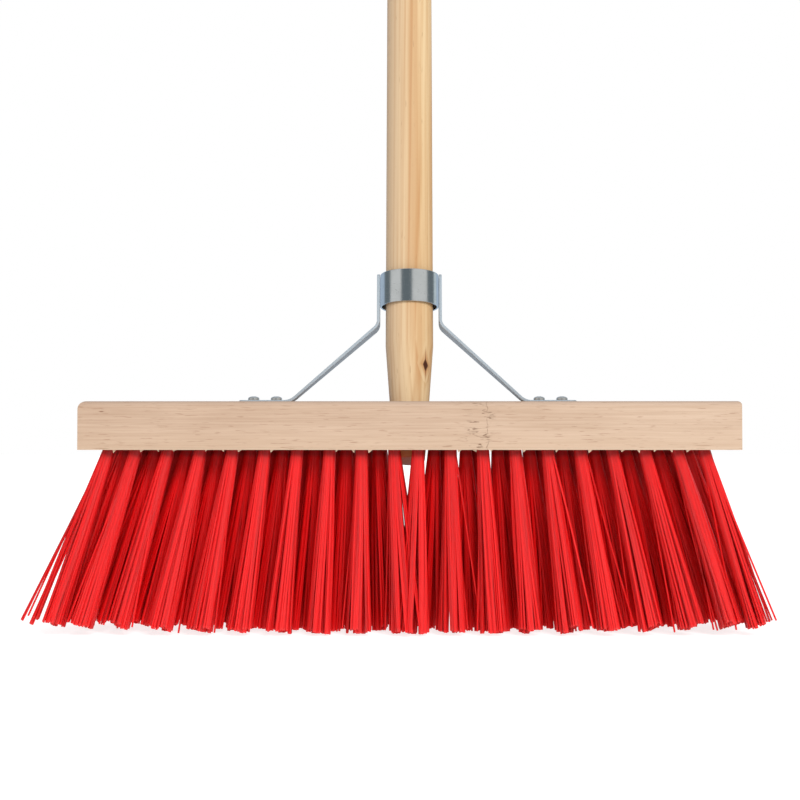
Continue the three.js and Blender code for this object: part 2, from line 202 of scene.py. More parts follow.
def add_camera():
    """Eye level with the block's underside, straight in front of the handle."""
    camera = bpy.data.objects.new("camera", bpy.data.cameras.new("camera"))
    camera.data.lens = LENS_MM
    camera.data.sensor_width = SENSOR_MM
    camera.location = (0, BLOCK_LOW.y - CAMERA_DISTANCE, UNDERSIDE)
    camera.rotation_euler = (CAMERA_AIM - camera.location).to_track_quat("-Z", "Y").to_euler()
    link(camera)
    bpy.context.scene.camera = camera


# -------------------- mesh helpers


def placing(position, direction):
    """The matrix that moves the origin to a place and points +Z along a direction."""
    return Matrix.Translation(position) @ Z_AXIS.rotation_difference(direction).to_matrix().to_4x4()


HANDLE_PLACE = placing(HANDLE_TIP, HANDLE_AXIS)
COLLAR_PLACE = placing(COLLAR_CENTRE, COLLAR_AXIS)
COLLAR_SCREW_PLACE = placing(COLLAR_SCREW_SEAT, COLLAR_BACK)


def arc(across, up, radius, start, end, steps):
    """Points of an arc between two angles in degrees."""
    angles = [math.radians(start + (end - start) * step / steps) for step in range(steps + 1)]
    return [(across + radius * math.cos(angle), up + radius * math.sin(angle)) for angle in angles]


def turned(profile, sides, ring=False):
    """A shape turned round +Z from (radius, height) points that end on the axis, or close as a ring."""
    shape = bmesh.new()
    turns = []
    for radius, height in profile:
        count = 1 if radius == 0 else sides
        angles = [2 * math.pi * side / sides for side in range(count)]
        turns.append([
            shape.verts.new((radius * math.cos(angle), radius * math.sin(angle), height))
            for angle in angles
        ])
    pairs = list(zip(turns, turns[1:]))
    if ring:
        pairs.append((turns[-1], turns[0]))
    for low, high in pairs:
        for side in range(sides):
            after = (side + 1) % sides
            corners = [
                low[side % len(low)], low[after % len(low)],
                high[after % len(high)], high[side % len(high)],
            ]
            shape.faces.new(dict.fromkeys(corners))
    bmesh.ops.recalc_face_normals(shape, faces=shape.faces)
    return shape


def bar(radius, low, high, sides):
    """A round bar along +Z."""
    return turned([(0, low), (radius, low), (radius, high), (0, high)], sides)


def lofted(sections):
    """A shape through sections with the same number of points, closed at both ends."""
    shape = bmesh.new()
    rings = [[shape.verts.new(point) for point in section] for section in sections]
    shape.faces.new(rings[0])
    shape.faces.new(rings[-1])
    count = len(rings[0])
    for near, far in zip(rings, rings[1:]):
        for index in range(count):
            after = (index + 1) % count
            shape.faces.new((near[index], near[after], far[after], far[index]))
    bmesh.ops.recalc_face_normals(shape, faces=shape.faces)
    return shape


def prism(outline, near, far, place):
    """An outline swept between two depths, where place turns (across, up, depth) into a point."""
    return lofted([[place(a, b, depth) for a, b in outline] for depth in (near, far)])


def moved(shape, matrix):
    """The shape after a move."""
    shape.transform(matrix)
    return shape


def as_mesh(shape):
    """A bmesh as mesh data, and the bmesh freed."""
    mesh = bpy.data.meshes.new("shape")
    shape.to_mesh(mesh)
    shape.free()
    return mesh


def gathered(shapes):
    """Several bmeshes as one mesh."""
    whole = bmesh.new()
    for shape in shapes:
        part = as_mesh(shape)
        whole.from_mesh(part)
        bpy.data.meshes.remove(part)
    return as_mesh(whole)


def worked(mesh, kind, tool=None, **settings):
    """The mesh after one modifier, which may use a second mesh as its tool."""
    bench = [bpy.data.objects.new("bench", mesh)]
    modifier = bench[0].modifiers.new("work", kind)
    if tool is not None:
        bench.append(bpy.data.objects.new("tool", tool))
        modifier.object = bench[1]
        modifier.solver = "EXACT"
    for name, value in settings.items():
        setattr(modifier, name, value)
    for item in bench:
        link(item)
    bpy.context.view_layer.update()
    depsgraph = bpy.context.evaluated_depsgraph_get()
    result = bpy.data.meshes.new_from_object(bench[0].evaluated_get(depsgraph))
    for item in bench:
        data = item.data
        bpy.data.objects.remove(item)
        bpy.data.meshes.remove(data)
    return result


def smoothed(mesh, sharp_degrees):
    """Smooth shading that stays crisp at sharp edges and level on flat faces."""
    mesh.shade_smooth()
    mesh.set_sharp_from_angle(angle=math.radians(sharp_degrees))
    return worked(mesh, "WEIGHTED_NORMAL", keep_sharp=True)


def add_piece(name, mesh, material, slot, *nodes, matrix=None):
    """Adds a piece that stands for CAD nodes, with the given material. The slot is not used."""
    piece = bpy.data.objects.new(name, mesh)
    if matrix is not None:
        piece.matrix_world = matrix
    link(piece)
    if not mesh.materials:
        mesh.materials.append(material)
    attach(piece, "root")
    if nodes:
        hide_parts(*nodes)
    return piece


# -------------------- shader helpers


def srgb(red, green, blue):
    """A display colour of 0 to 255 as the linear colour that shaders use."""
    def linear(value):
        share = value / 255
        return share / 12.92 if share <= 0.04045 else ((share + 0.055) / 1.055) ** 2.4

    return linear(red), linear(green), linear(blue), 1


class Shader:
    """A node tree with short calls for the nodes that the materials share."""

    def __init__(self, owner):
        owner.use_nodes = True
        self.nodes = owner.node_tree.nodes
        self.links = owner.node_tree.links
        self.nodes.clear()

    def feed(self, socket, value):
        """Links a socket to another, or sets its value."""
        if isinstance(value, bpy.types.NodeSocket):
            self.links.new(value, socket)
        elif value is not None:
            socket.default_value = value

    def add(self, kind, inputs=None, **settings):
        node = self.nodes.new("ShaderNode" + kind)
        for name, value in settings.items():
            setattr(node, name, value)
        for name, value in (inputs or {}).items():
            self.feed(node.inputs[name], value)
        return node

    def math(self, operation, first, second=None):
        node = self.add("Math", operation=operation)
        self.feed(node.inputs[0], first)
        self.feed(node.inputs[1], second)
        return node.outputs[0]

    def total(self, *values):
        """The sum of several values."""
        return reduce(lambda whole, value: self.math("ADD", whole, value), values)

    def product(self, *values):
        """The product of several values."""
        return reduce(lambda whole, value: self.math("MULTIPLY", whole, value), values)

    def ranged(self, value, low, high, out_low=0.0, out_high=1.0, smooth=False):
        """A value mapped between two ranges and kept inside the second."""
        kind = "SMOOTHSTEP" if smooth else "LINEAR"
        inputs = {"From Min": low, "From Max": high, "To Min": out_low, "To Max": out_high}
        node = self.add("MapRange", inputs, interpolation_type=kind)
        self.feed(node.inputs["Value"], value)
        return node.outputs["Result"]

    def axes(self, vector):
        """The vector's parts, by axis."""
        return self.add("SeparateXYZ", {"Vector": vector}).outputs

    def stretched(self, vector, scale, location=(0, 0, 0)):
        node = self.add("Mapping", {"Vector": vector, "Scale": scale, "Location": location})
        return node.outputs["Vector"]

    def spot(self, point, centre, radii, pointed=False):
        """How far a point lies from a centre in radii: 1 is an ellipsoid, or a diamond if pointed."""
        scale = [1 / radius for radius in radii]
        location = [-place / radius for place, radius in zip(centre, radii)]
        offset = self.stretched(point, scale, location)
        if pointed:
            parts = self.axes(offset)
            return self.total(*(self.math("ABSOLUTE", parts[axis]) for axis in "XYZ"))
        node = self.add("VectorMath", operation="LENGTH")
        self.feed(node.inputs[0], offset)
        return node.outputs["Value"]

    def noise(self, point, scale, detail, shift=(0, 0, 0), roughness=0.5):
        """Noise at a scale for each axis, or at one scale for all three."""
        if isinstance(scale, tuple):
            point, scale = self.stretched(point, scale, shift), 1
        inputs = {"Vector": point, "Scale": scale, "Detail": detail, "Roughness": roughness}
        return self.add("TexNoise", inputs).outputs["Fac"]

    def ramp(self, factor, stops):
        """A colour read off (factor, colour) stops."""
        node = self.add("ValToRGB", {"Fac": factor})
        elements = node.color_ramp.elements
        while len(elements) < len(stops):
            elements.new(1)
        for element, (position, colour) in zip(elements, stops):
            element.position = position
            element.color = colour
        return node.outputs["Color"]

    def mix(self, factor, first, second):
        node = self.add("Mix", data_type="RGBA")
        self.feed(node.inputs["Factor"], factor)
        self.feed(node.inputs["A"], first)
        self.feed(node.inputs["B"], second)
        return node.outputs["Result"]

    def tinted(self, colour, tints):
        """A colour after (share, tint) steps, each of which mixes some of a display colour in."""
        for share, tint in tints:
            colour = self.mix(share, colour, srgb(*tint))
        return colour

    def coat(self, surface, colour, roughness, relief, strength, distance):
        """Gives a surface its colour, its roughness and a bump from its relief."""
        inputs = {"Height": relief, "Strength": strength, "Distance": distance}
        self.feed(surface.inputs["Base Color"], colour)
        self.feed(surface.inputs["Roughness"], roughness)
        self.feed(surface.inputs["Normal"], self.add("Bump", inputs).outputs["Normal"])


def new_material(name, constants):
    """A material, its shader, its surface node with some inputs set, and the place on its object."""
    material = bpy.data.materials.new(name)
    shader = Shader(material)
    surface = shader.add("BsdfPrincipled")
    for socket, value in constants.items():
        surface.inputs[socket].default_value = value
    output = shader.add("OutputMaterial")
    shader.links.new(surface.outputs["BSDF"], output.inputs["Surface"])
    return material, shader, surface, shader.add("TexCoord").outputs["Object"]


# -------------------- materials

# Wood and plastic
MATT_IOR = 1.45

# Wood: rings round a pith line that runs beside the piece, how far they wander, and their tone by
# place through a ring
BEECH_PITH = (10 * MM, 20 * MM)
BEECH_RING = 3.4 * MM
BEECH_WANDER = 6 * MM
BEECH_TONES = ((0, 0.1), (0.5, 0.3), (0.82, 1), (1, 0.15))
PINE_PITH = (-34 * MM, 30 * MM)
PINE_RING = 2.9 * MM
PINE_WANDER = 9 * MM
PINE_TONES = ((0, 0.05), (0.5, 0.25), (0.85, 1), (1, 0.1))

# The knot in the handle's front, in the handle's own axes, with how far it pushes the rings aside,
# and the scar in the block's front
KNOT_PLACE = (9.6 * MM, -9.5 * MM, 57 * MM)
KNOT_RADII = (2.1 * MM, 12 * MM, 5.2 * MM)
KNOT_CRACK_RADII = (0.5 * MM, 12 * MM, 12 * MM)
KNOT_PUSH = 2.6 * MM
SCAR_PLACE = (-176.7 * MM, BLOCK_LOW.y, UNDERSIDE + 22 * MM)
SCAR_RADII = (1.7 * MM, 3 * MM, 0.5 * MM)

# The stretch from the handle's tip over which its painted warm bounce light from the red bristles fades
PAINTED_BOUNCE_STRETCH = (4 * MM, 20 * MM)

# The checked patch in the block's front, how far it reaches to each side, and the chain across it
CHECK_X = 41 * MM
CHECK_REACH = 11 * MM
CHAIN_X = 44.5 * MM


def growth_rings(shader, across, up, pith, pitch, wander, tones):
    """How dark the yearly rings round a pith are: (place through a ring, tone) pairs set each one."""
    first = shader.math("SUBTRACT", across, pith[0])
    second = shader.math("SUBTRACT", up, pith[1])
    squared = shader.total(shader.product(first, first), shader.product(second, second))
    radius = shader.total(shader.math("SQRT", squared), wander)
    through = shader.math("FRACT", shader.math("DIVIDE", radius, pitch))
    return shader.ramp(through, [(place, (tone, tone, tone, 1)) for place, tone in tones])


def checks(shader, point, parts):
    """Fine checks in one patch of the block: short ones along the grain, and a chain across it."""
    from_patch = shader.math("ABSOLUTE", shader.math("SUBTRACT", parts["X"], CHECK_X))
    patch = shader.ranged(from_patch, 0.4 * CHECK_REACH, CHECK_REACH, 1, 0, smooth=True)
    field = shader.noise(point, (55, 480, 480), 3)
    from_line = shader.math("ABSOLUTE", shader.math("SUBTRACT", field, 0.5))
    along = shader.ranged(from_line, 0.008, 0.028, 1, 0)
    broken = shader.noise(point, (230, 230, 230), 1, shift=(3, 1, 7))
    along = shader.product(along, shader.ranged(broken, 0.46, 0.54), patch)
    bent = shader.noise(point, (300, 300, 260), 3)
    bent = shader.product(shader.math("SUBTRACT", bent, 0.5), 6 * MM)
    chain = shader.math("ABSOLUTE", shader.total(parts["X"], bent, -CHAIN_X))
    chain = shader.ranged(chain, 0.05 * MM, 0.3 * MM, 1, 0)
    chain = shader.product(chain, shader.ranged(broken, 0.42, 0.58, 0.75, 0.1))
    return shader.math("MAXIMUM", along, chain)


def beech():
    """Planed bare beech: faint grain along X, short dark flecks, a checked patch and a small scar."""
    constants = {"IOR": MATT_IOR, "Specular IOR Level": 0.3}
    material, shader, surface, point = new_material("beech", constants)
    parts = shader.axes(point)
    wander = shader.product(shader.noise(point, (9, 32, 32), 3), BEECH_WANDER)
    late_wood = growth_rings(shader, parts["Y"], parts["Z"], BEECH_PITH, BEECH_RING, wander, BEECH_TONES)
    grain = shader.noise(point, (16, 900, 900), 5, roughness=0.7)
    blotch = shader.noise(point, (18, 90, 90), 2)

    # Painted light: the wood turns lighter towards the block's right end, as if lit more from that side
    painted_light_drift = shader.ranged(parts["X"], BLOCK_LOW.x, BLOCK_HIGH.x)
    pale = shader.mix(painted_light_drift, srgb(186, 160, 138), srgb(198, 173, 151))
    dark = shader.mix(painted_light_drift, srgb(166, 138, 116), srgb(178, 151, 128))
    share = shader.total(
        shader.product(late_wood, 0.14), shader.ranged(grain, 0.3, 0.7, -0.1, 0.8),
        shader.ranged(blotch, 0.3, 0.7, -0.16, 0.14),
    )
    above = shader.ranged(parts["Z"], UNDERSIDE, BLOCK_TOP)
    flecks = shader.ranged(shader.noise(point, (120, 1700, 1700), 1), 0.65, 0.75, smooth=True)
    cracks = checks(shader, point, parts)
    scar = shader.ranged(shader.spot(point, SCAR_PLACE, SCAR_RADII), 0.5, 1, 1, 0)
    along = shader.axes(shader.add("NewGeometry").outputs["Normal"])["X"]
    end_grain = shader.ranged(shader.math("ABSOLUTE", along), 0.75, 0.95, smooth=True)
    # The wood turns a little paler towards the bottom, and a greyer band of painted shade runs along the
    # top edge
    colour = shader.tinted(shader.mix(share, pale, dark), (
        (shader.ranged(above, 0.1, 0.5, 0.3, 0), (196, 170, 145)),
        (shader.ranged(above, 0.88, 1, 0, 0.5), (170, 148, 134)),
        (shader.product(flecks, 0.45), (140, 104, 80)),
        (shader.product(cracks, 0.7), (104, 74, 52)),
        (shader.product(scar, 0.6), (118, 78, 54)),
        (shader.product(end_grain, 0.3), (172, 146, 126)),
    ))
    relief = shader.total(
        shader.product(grain, 0.5), shader.product(flecks, -0.4), shader.product(cracks, -1.5),
        shader.product(scar, -1),
    )
    shader.coat(surface, colour, shader.ranged(grain, 0.3, 0.7, 0.55, 0.75), relief, 0.5, 0.25 * MM)
    return material


def pine():
    """Sanded bare pine: streaks along the pole, and one small knot that the streaks flow round."""
    constants = {"IOR": MATT_IOR, "Specular IOR Level": 0.35}
    material, shader, surface, point = new_material("pine", constants)
    parts = shader.axes(point)
    from_knot = shader.spot(point, KNOT_PLACE, KNOT_RADII, pointed=True)
    from_crack = shader.spot(point, KNOT_PLACE, KNOT_CRACK_RADII, pointed=True)
    around_knot = shader.ranged(from_knot, 0.8, 3.2, 1, 0, smooth=True)
    wander = shader.product(shader.noise(point, (22, 22, 2.2), 2), PINE_WANDER)
    wander = shader.total(wander, shader.product(around_knot, KNOT_PUSH))
    late_wood = growth_rings(shader, parts["X"], parts["Y"], PINE_PITH, PINE_RING, wander, PINE_TONES)
    fibre = shader.noise(point, (800, 800, 12), 4, roughness=0.6)
    streak = shader.noise(point, (210, 210, 3), 2)
    share = shader.total(
        shader.product(late_wood, 0.45), shader.product(fibre, 0.3),
        shader.ranged(streak, 0.38, 0.62, -0.4, 0.45),
    )
    # Painted shade: the pole's left side turns a greyer pink, as if it were less lit
    painted_left_shade = shader.ranged(parts["X"], -HANDLE_RADIUS, HANDLE_RADIUS, 0.55, 0)
    pores = shader.ranged(shader.noise(point, (900, 900, 90), 1), 0.68, 0.78, smooth=True)
    # Painted bounce light: the tip under the block turns warm brown, as if lit by the red bristles round it
    painted_tip_bounce = shader.ranged(parts["Z"], *PAINTED_BOUNCE_STRETCH, 0.85, 0, smooth=True)
    ragged = shader.total(from_knot, shader.product(fibre, 0.7))
    halo = shader.ranged(ragged, 1.2, 2.4, 0.55, 0, smooth=True)
    crack = shader.ranged(from_crack, 0.7, 1.1, 0.8, 0)
    core = shader.ranged(ragged, 0.95, 1.35, 1, 0, smooth=True)
    colour = shader.tinted(shader.mix(share, srgb(214, 187, 144), srgb(184, 139, 88)), (
        (painted_left_shade, (178, 150, 130)), (shader.product(pores, 0.3), (140, 104, 70)), (painted_tip_bounce, (196, 112, 58)),
        (halo, (170, 112, 62)), (crack, (126, 74, 38)), (core, (70, 33, 16)),
    ))
    relief = shader.total(
        shader.product(fibre, 0.5), shader.product(pores, -0.5), shader.product(core, -0.6),
    )
    shader.coat(surface, colour, shader.ranged(fibre, 0.3, 0.7, 0.45, 0.62), relief, 0.35, 0.2 * MM)
    return material


def plated_steel(name, tone, low_roughness, high_roughness, streak_scale, metallic=1, relief=0.1):
    """Zinc-plated steel: rolling streaks, cloudy plating with a fine spangle, and small dull specks."""
    material, shader, surface, point = new_material(name, {"Metallic": metallic})
    streaks = shader.noise(point, streak_scale, 4, roughness=0.6)
    spangle = shader.noise(point, 900, 2)
    clouds = shader.noise(point, 130, 3)
    specks = shader.ranged(shader.noise(point, 1500, 1), 0.66, 0.74, smooth=True)
    dull = shader.mix(0.5, tone, srgb(190, 193, 192))
    colour = shader.mix(shader.ranged(clouds, 0.35, 0.65, 0, 0.4), tone, dull)
    colour = shader.mix(shader.product(specks, 0.5), colour, srgb(120, 122, 120))
    cloudy = shader.ranged(clouds, 0.3, 0.7, low_roughness, high_roughness)
    roughness = shader.total(cloudy, shader.product(specks, 0.2))
    height = shader.total(shader.product(streaks, 0.5), spangle)
    shader.coat(surface, colour, roughness, height, relief, 0.1 * MM)
    return material


def red_plastic(name, deep, bright, gloss):
    """Extruded red filament, a little translucent: each strand differs, and the cut ends are frosted."""
    material, shader, surface, point = new_material(name, {
        "IOR": MATT_IOR, "Specular IOR Level": gloss, "Subsurface Weight": 0.5,
        "Subsurface Radius": (1, 0.06, 0.06), "Subsurface Scale": 2 * MM,
    })
    strand = shader.add("Attribute", attribute_name="strand")
    parts = shader.add("SeparateColor", {"Color": strand.outputs["Color"]}).outputs
    colour = shader.mix(parts["Red"], deep, bright)
    colour = shader.mix(shader.product(parts["Blue"], 0.35), colour, deep)
    # Painted shadow: the strands darken near their roots, where the block shades the tufts' tops
    painted_root_shadow = shader.ranged(parts["Green"], 0.02, 0.05, 0.85, 0, smooth=True)
    colour = shader.mix(painted_root_shadow, colour, srgb(150, 4, 10))
    frosted = shader.ranged(parts["Green"], 0.985, 1.0)
    colour = shader.mix(shader.product(frosted, 0.3), colour, srgb(226, 84, 80))
    drawn = shader.noise(point, (2600, 2600, 60), 2)
    shader.coat(surface, colour, shader.ranged(drawn, 0.3, 0.7, 0.38, 0.52), drawn, 0.1, 0.06 * MM)
    return material


# How much light of its own the floor adds, so that shadows on it stay faint
FLOOR_GLOW = 0.8


def pale_floor():
    """Matt white paper with a faint tooth."""
    material, shader, surface, point = new_material("pale_floor", {
        "Roughness": 0.9, "Specular IOR Level": 0.1,
        "Emission Color": (1, 1, 1, 1), "Emission Strength": FLOOR_GLOW,
    })
    tooth = shader.noise(point, 300, 2)
    tone = shader.mix(tooth, srgb(180, 180, 180), srgb(184, 184, 184))
    shader.feed(surface.inputs["Base Color"], tone)
    material.cycles.emission_sampling = "NONE"
    return material


BEECH = beech()
PINE = pine()
ZINC = plated_steel("bright_zinc", srgb(222, 224, 226), 0.17, 0.22, (40, 40, 2200))
ARM_ZINC = plated_steel("strip_zinc", srgb(170, 181, 190), 0.46, 0.54, (60, 2200, 60), 0.25, 0.02)
SCREW_STEEL = plated_steel("screw_zinc", srgb(196, 195, 192), 0.26, 0.42, (300, 300, 300), 0.75)
# The same plastic in both: the outer tufts' paler red is painted sheen, and the inner tufts' deeper red is
# painted shade
OUTER_RED_PAINTED_SHEEN = red_plastic("outer_red_painted_sheen", srgb(220, 24, 26), srgb(232, 38, 38), 0.5)
INNER_RED_PAINTED_SHADE = red_plastic("inner_red_painted_shade", srgb(212, 12, 15), srgb(222, 20, 22), 0.3)

# -------------------- tuft layout


def tuft_offset(step):
    """A tuft's distance from the middle, counted in steps from the innermost front tuft."""
    even = min(step, OUTER_PER_SIDE - 2)
    return MIDDLE_GAP / 2 + even * TUFT_PITCH + (step - even) * END_PITCH


def fan(x):
    """How far the tips have moved sideways from a hole at x: more towards the ends, up to a limit."""
    reach = LEFT_FAN if x < 0 else RIGHT_FAN
    return math.copysign(reach * min(1, abs(x) / FAN_LIMIT) ** FAN_POWER, x)


def holes_of(y, first_step, per_side, inset=0, shift=0):
    """One row's holes from left to right: each hole's mouth and the way it points."""
    offsets = [tuft_offset(first_step + count) - inset for count in range(per_side)]
    holes = []
    for offset in [-offset for offset in reversed(offsets)] + offsets:
        mouth = Vector((FIELD_SHIFT + shift + offset, y, UNDERSIDE))
        direction = Vector((fan(mouth.x), y * ROW_SPLAY, -UNDERSIDE)).normalized()
        holes.append((mouth, direction))
    return holes


INNER_ROW_Y = ROW_SPACING / 2
OUTER_ROW_Y = INNER_ROW_Y + ROW_SPACING
FRONT_ROW = holes_of(-OUTER_ROW_Y, 0, OUTER_PER_SIDE)
SECOND_ROW = holes_of(-INNER_ROW_Y, 0.5, INNER_PER_SIDE)
THIRD_ROW = holes_of(INNER_ROW_Y, 1, INNER_PER_SIDE, inset=THIRD_ROW_INSET)
REAR_ROW = holes_of(OUTER_ROW_Y, 0.5, INNER_PER_SIDE, shift=REAR_ROW_SHIFT)
INNER_ROWS = sorted(SECOND_ROW + THIRD_ROW, key=lambda hole: hole[0].x)
ALL_HOLES = FRONT_ROW + SECOND_ROW + THIRD_ROW + REAR_ROW

# -------------------- block

# Splinters: their size, how far behind the block's front they hang, and how likely each side of a hole
# has one
BURR_SEED = 11
BURR_HEIGHT = (0.9 * MM, 1.9 * MM)
BURR_WIDTH = (1.6 * MM, 3.2 * MM)
BURR_THICKNESS = 0.5 * MM
BURR_DEPTH = (0.6 * MM, 1.2 * MM)
BURR_CHANCE = {-1: 0.15, 1: 0.85}


def rounded_top_outline(low, high, bottom, top, low_radius, high_radius):
    """A rectangle whose two upper corners are rounded."""
    outline = [(low, bottom), (high, bottom)]
    outline += arc(high - high_radius, top - high_radius, high_radius, 0, 90, 10)
    outline += arc(low + low_radius, top - low_radius, low_radius, 90, 180, 10)
    return outline


def burrs():
    """Small splinters left hanging along the block's lower front edge, beside the front holes."""
    draw = random.Random(BURR_SEED)
    shapes = []
    for mouth, _ in FRONT_ROW:
        for side in (-1, 1):
            if draw.random() > BURR_CHANCE[side]:
                continue
            height = draw.uniform(*BURR_HEIGHT)
            width = draw.uniform(*BURR_WIDTH)
            x = mouth.x + side * (HOLE_RADIUS + 0.4 * width)
            y = BLOCK_LOW.y + draw.uniform(*BURR_DEPTH)
            tip = Vector((x - side * 0.35 * width, y - 0.2 * MM, UNDERSIDE - height))
            shape = bmesh.new()
            corners = [
                shape.verts.new((x + a * width / 2, y + b * BURR_THICKNESS / 2, UNDERSIDE + GAP))
                for a, b in ((-1, -1), (1, -1), (1, 1), (-1, 1))
            ]
            point = shape.verts.new(tip)
            shape.faces.new(corners)
            for index in range(4):
                shape.faces.new((corners[index], corners[(index + 1) % 4], point))
            bmesh.ops.recalc_face_normals(shape, faces=shape.faces)
            shapes.append(shape)
    return gathered(shapes)


def handle_bore():
    """The slanted bore that the handle's taper sits in."""
    slope = (HANDLE_RADIUS - HANDLE_TIP_RADIUS) / TAPER_LENGTH
    length = 2 * TIP_REACH
    profile = [
        (0, -GAP), (HANDLE_TIP_RADIUS + GAP - slope * GAP, -GAP),
        (HANDLE_TIP_RADIUS + GAP + slope * length, length), (0, length),
    ]
    return moved(turned(profile, HANDLE_SIDES), HANDLE_PLACE)


def screw_hole(low=-OVERRUN, high=OVERRUN):
    """A hole for a screw's shank, with the screw's seat at z = 0."""
    return bar(SCREW_RADIUS + GAP, low, high, SHANK_SIDES)


def screw_pilot():
    """The blind hole in wood that a screw's shank sits in."""
    return screw_hole(-SCREW_LENGTH - GAP, GAP)


def block_mesh():
    low, high = BLOCK_LOW, BLOCK_HIGH
    front = rounded_top_outline(low.x, high.x, low.z, high.z, LEFT_CORNER_RADIUS, RIGHT_CORNER_RADIUS)
    side = rounded_top_outline(low.y, high.y, low.z, high.z, LONG_EDGE_RADIUS, LONG_EDGE_RADIUS)
    front_slab = prism(front, low.y, high.y, lambda across, up, depth: (across, depth, up))
    side_slab = prism(
        side, low.x - OVERRUN, high.x + OVERRUN, lambda across, up, depth: (depth, across, up)
    )
    mesh = worked(as_mesh(front_slab), "BOOLEAN", as_mesh(side_slab), operation="INTERSECT")
    mesh = worked(mesh, "BEVEL", width=BLOCK_BEVEL, segments=3, limit_method="ANGLE",
                  angle_limit=math.radians(40))
    mesh = worked(mesh, "BOOLEAN", burrs(), operation="UNION")
    cutters = [
        moved(bar(HOLE_RADIUS, -OVERRUN, HOLE_DEPTH, HOLE_SIDES), placing(mouth, -direction))
        for mouth, direction in ALL_HOLES
    ]
    cutters.append(handle_bore())
    cutters += [moved(screw_pilot(), Matrix.Translation(seat)) for seat in FOOT_SCREW_SEATS]
    mesh = worked(mesh, "BOOLEAN", gathered(cutters), operation="DIFFERENCE", use_self=True)
    return smoothed(mesh, 35)


# -------------------- handle


def handle_mesh():
    """The pole along +Z from its tip, with the stay screw's pilot hole."""
    shoulder = HANDLE_LENGTH - DOME_HEIGHT
    profile = [(0, 0)]
    profile += arc(HANDLE_TIP_RADIUS - TIP_CHAMFER, TIP_CHAMFER, TIP_CHAMFER, -90, 0, 5)
    for step in range(1, TAPER_STEPS + 1):
        share = step / TAPER_STEPS
        radius = HANDLE_TIP_RADIUS + (HANDLE_RADIUS - HANDLE_TIP_RADIUS) * share
        profile.append((radius, TAPER_LENGTH * share))
    for step in range(1, SHAFT_STEPS + 1):
        profile.append((HANDLE_RADIUS, TAPER_LENGTH + (shoulder - TAPER_LENGTH) * step / SHAFT_STEPS))
    for turn in range(10, 90, 10):
        angle = math.radians(turn)
        profile.append((HANDLE_RADIUS * math.cos(angle), shoulder + DOME_HEIGHT * math.sin(angle)))
    profile.append((0, HANDLE_LENGTH))
    pole = as_mesh(turned(profile, HANDLE_SIDES))
    pilot = moved(screw_pilot(), HANDLE_PLACE.inverted() @ COLLAR_SCREW_PLACE)
    mesh = worked(pole, "BOOLEAN", as_mesh(pilot), operation="DIFFERENCE")
    return smoothed(mesh, 40)


# -------------------- stay


def collar_mesh():
    """The collar round +Z, with rounded edges and its screw hole."""
    half = COLLAR_HEIGHT / 2
    edge = COLLAR_EDGE_RADIUS
    inner, outer = COLLAR_INNER_RADIUS + edge, COLLAR_OUTER_RADIUS - edge
    profile = arc(inner, edge - half, edge, 180, 270, 4) + arc(outer, edge - half, edge, 270, 360, 4)
    profile += arc(outer, half - edge, edge, 0, 90, 4) + arc(inner, half - edge, edge, 90, 180, 4)
    ring = as_mesh(turned(profile, COLLAR_SIDES, ring=True))
    hole = moved(screw_hole(), COLLAR_PLACE.inverted() @ COLLAR_SCREW_PLACE)
    return smoothed(worked(ring, "BOOLEAN", as_mesh(hole), operation="DIFFERENCE"), 40)


def arm_corners(side, drop, node):
    """The corner points of one arm's middle line, from the collar's top to the end of the foot."""
    low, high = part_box(node)
    foot_y = FOOT_SCREW_SEATS[0].y
    foot_z = low.z + STRIP_THICKNESS / 2
    foot_end = max(abs(low.x), abs(high.x))
    beside = side * (COLLAR_OUTER_RADIUS + SEAT_GAP + STRIP_THICKNESS / 2)
    on_collar = [COLLAR_CENTRE + COLLAR_AXIS * along for along in (ARM_TOP, -drop)]
    return [
        Vector((beside, on_collar[0].y, on_collar[0].z)),
        Vector((beside, on_collar[1].y, on_collar[1].z)),
        Vector((side * (foot_end - FOOT_LENGTH), foot_y, foot_z)),
        Vector((side * foot_end, foot_y, foot_z)),
    ]


def arm_line(corners):
    """Close-set points along the middle line, with its two bends rounded."""
    def straight(start, end, spacing):
        count = max(1, round((end - start).length / spacing))
        return [start.lerp(end, step / count) for step in range(count)]

    points = []
    start = corners[0]
    for index, trim in ((1, UPPER_BEND_TRIM), (2, LOWER_BEND_TRIM)):
        corner = corners[index]
        before = corner + (corners[index - 1] - corner).normalized() * trim
        after = corner + (corners[index + 1] - corner).normalized() * trim
        points += straight(start, before, STRIP_SPACING[index - 1])
        for step in range(BEND_STEPS):
            share = step / BEND_STEPS
            points.append(before.lerp(corner, share).lerp(corner.lerp(after, share), share))
        start = after
    points += straight(start, corners[3], STRIP_SPACING[2])
    points.append(corners[3])
    return points


def strip_half_width(distance):
    """Half the strip's width at a distance from its end, with rounded corners."""
    inset = max(0.0, STRIP_CORNER_RADIUS - distance)
    return STRIP_WIDTH / 2 - STRIP_CORNER_RADIUS + math.sqrt(STRIP_CORNER_RADIUS ** 2 - inset ** 2)


def strip_section(half_width, half_thickness):
    """The strip's cross-section as (across, out) points: its outer half, then the same turned over."""
    edge = min(STRIP_EDGE_RADIUS, half_thickness * 0.9)
    flat = half_width - edge
    face = [-flat + 2 * flat * column / STRIP_COLUMNS for column in range(1, STRIP_COLUMNS)]
    outer = arc(-flat, half_thickness - edge, edge, 180, 90, 3)
    outer += [(across, half_thickness) for across in face]
    outer += arc(flat, half_thickness - edge, edge, 90, 0, 3)
    return outer + [(-across, -out) for across, out in outer]


